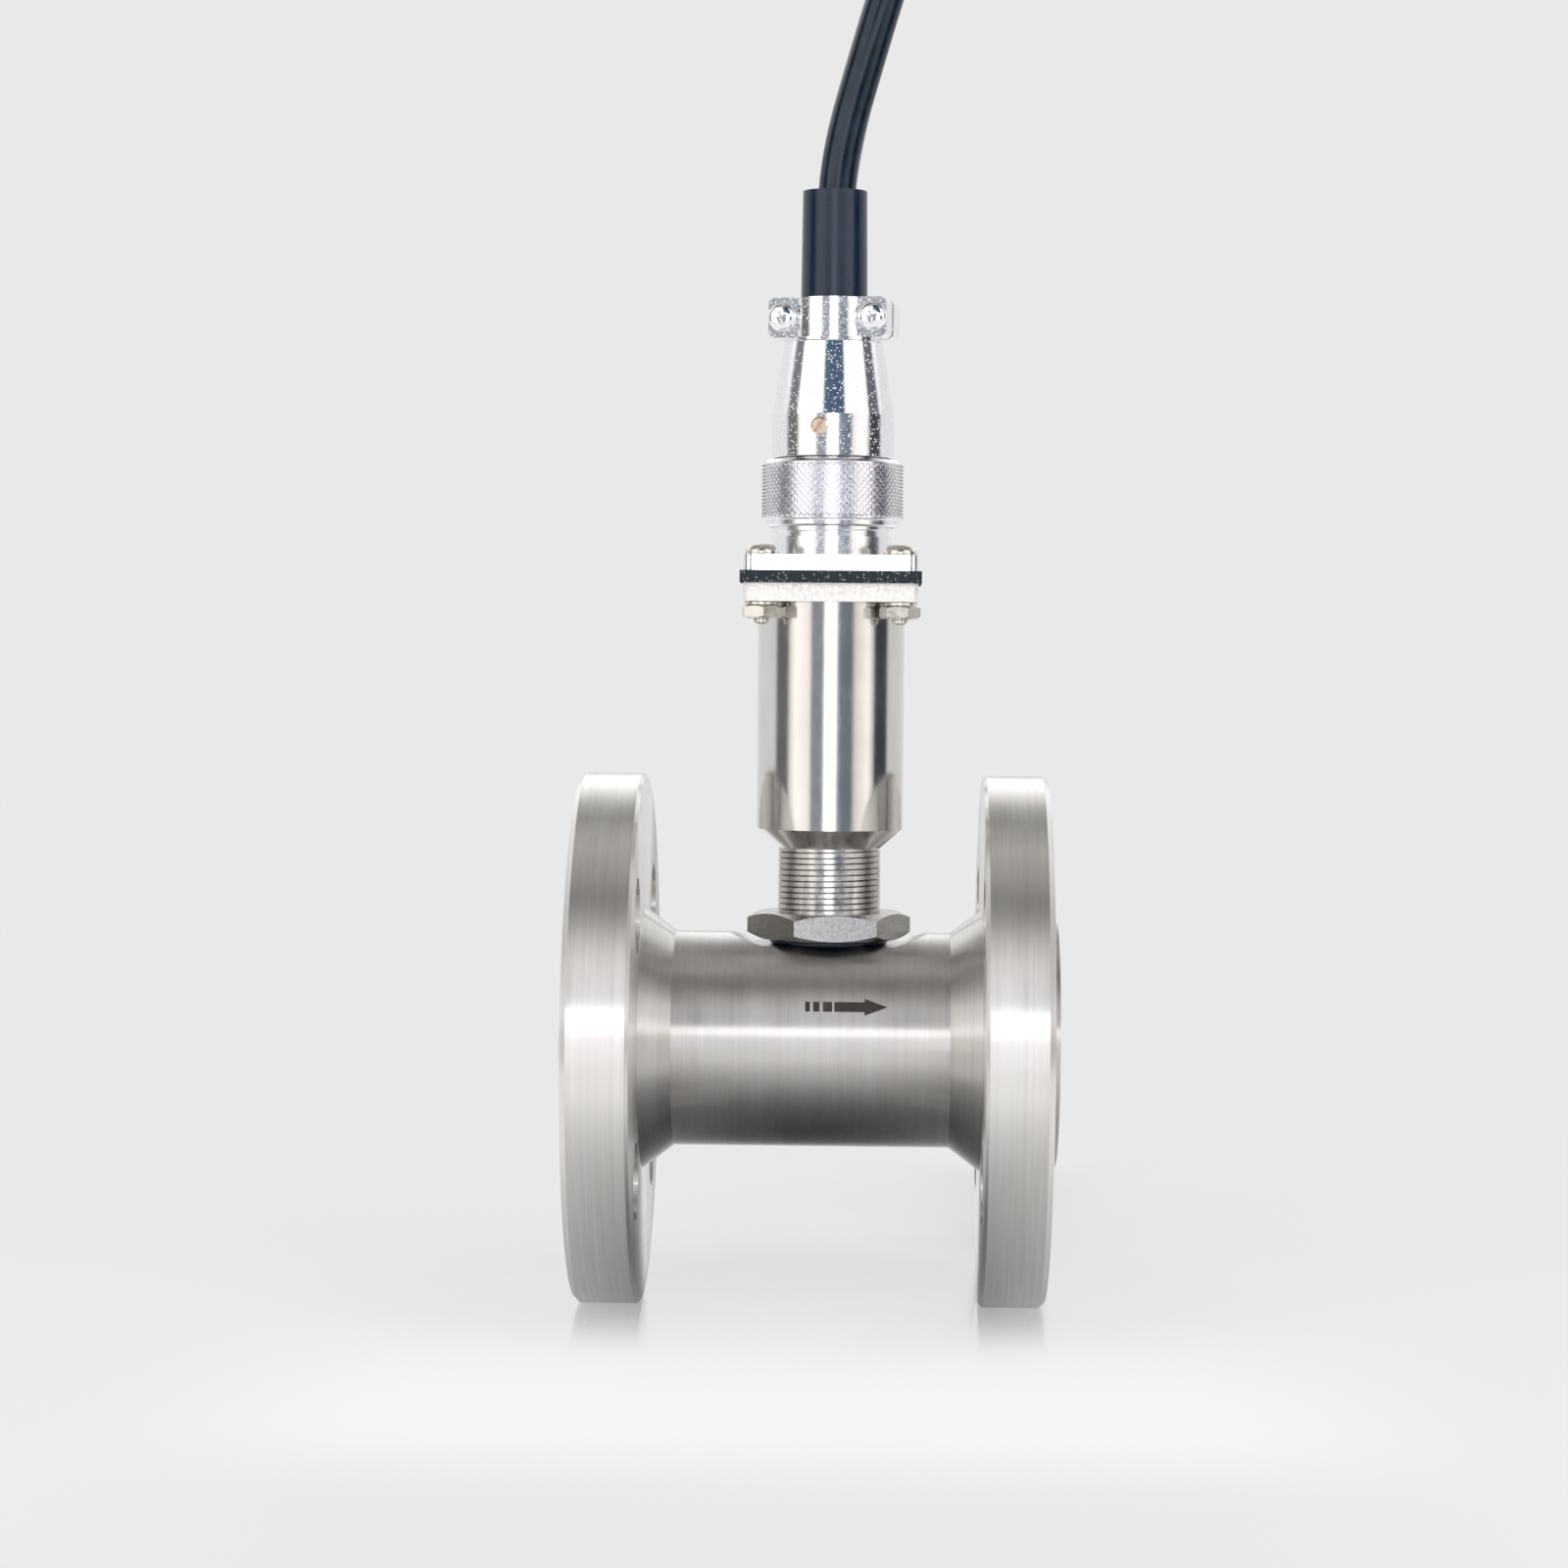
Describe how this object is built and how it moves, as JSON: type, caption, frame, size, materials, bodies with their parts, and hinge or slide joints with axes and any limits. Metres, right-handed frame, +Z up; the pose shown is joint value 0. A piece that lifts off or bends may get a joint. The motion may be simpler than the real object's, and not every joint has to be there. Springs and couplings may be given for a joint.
{
  "type": "turbine flow meter",
  "caption": "Flanged inline turbine flow meter with a finned rotor, a screwed-in magnetic pickup and a round screw-on cable plug.",
  "frame": {"origin": "on the axis of the pipe bore, midway between the two sealing faces", "axes": "+X is the flow direction along the bore, +Z is up through the sensor, +Y is away from the front"},
  "size_m": [0.0916, 0.219, 0.2808],
  "materials": {
    "pipe_steel": "fine turned stainless steel",
    "stainless": "plain stainless steel",
    "housing_metal": "turned, lightly scratched",
    "plate_metal": "bead blasted plate",
    "socket_metal": "satin plated",
    "ring_metal": "satin, diamond knurled",
    "backshell_metal": "glossy plated, cool grey",
    "clamp_metal": "satin grey",
    "nickel": "plated fastener",
    "brass": "bare brass",
    "rubber_grey": "speckled dark gasket rubber",
    "rubber_black": "soft black rubber",
    "cord": "glossy black cable jacket",
    "tie": "matt black nylon",
    "leads": "coloured wire insulation",
    "insulator": "moulded insulator",
    "bearing": "dark ceramic",
    "rotor_steel": "magnetic stainless steel",
    "magnet": "dark plated magnet",
    "iron": "soft iron",
    "copper": "enamelled copper winding",
    "board": "green circuit board"
  },
  "bodies": {
    "meter": {"meter_body": "pipe_steel", "inlet_flange": "pipe_steel", "outlet_flange": "pipe_steel", "inlet_guide": "stainless", "outlet_guide": "stainless", "inlet_bearing": "bearing", "outlet_bearing": "bearing", "inlet_thrust_pad": "bearing", "outlet_thrust_pad": "bearing", "inlet_retaining_ring": "stainless", "outlet_retaining_ring": "stainless", "seal_ring": "rubber_black", "lock_nut": "stainless", "sensor_housing": "housing_metal", "mounting_plate": "plate_metal", "flange_gasket": "rubber_grey", "socket_shell": "socket_metal", "socket_insert": "insulator", "socket_pins": "brass", "plate_screws": "stainless", "lock_washers": "stainless", "plate_nuts": "nickel", "pole_piece": "iron", "pickup_magnet": "magnet", "coil_bobbin": "insulator", "coil_winding": "copper", "coil_leads": "leads", "circuit_board": "board", "cable_hank": "cord", "hank_tie": "tie", "lead_ends": "leads"},
    "rotor": {"rotor": "rotor_steel", "rotor_shaft": "stainless"},
    "plug": {"plug_shell": "socket_metal", "snap_ring": "stainless", "plug_insert": "insulator", "plug_contacts": "brass", "backshell": "backshell_metal", "set_screw": "brass", "cable_clamp": "clamp_metal", "clamp_saddle": "clamp_metal", "clamp_screws": "nickel", "cable_boot": "rubber_black", "cable": "cord"},
    "ring": {"coupling_ring": "ring_metal"}
  },
  "joints": [
    {"name": "rotor_spin", "type": "hinge", "parent": "meter", "child": "rotor", "pos_m": [0.0028, 0, 0], "axis": [1, 0, 0], "continuous": true},
    {"name": "plug_lift", "type": "slide", "parent": "meter", "child": "plug", "axis": [0, 0, 1], "range_m": [0, 0.007]},
    {"name": "ring_turn", "type": "hinge", "parent": "plug", "child": "ring", "pos_m": [0.0028, 0, 0.0976], "axis": [0, 0, 1], "range_deg": [0, 1985]}
  ],
  "couplings": [
    {"joint": "ring_turn", "follows": "plug_lift", "rad_per_m": 4947.4}
  ]
}
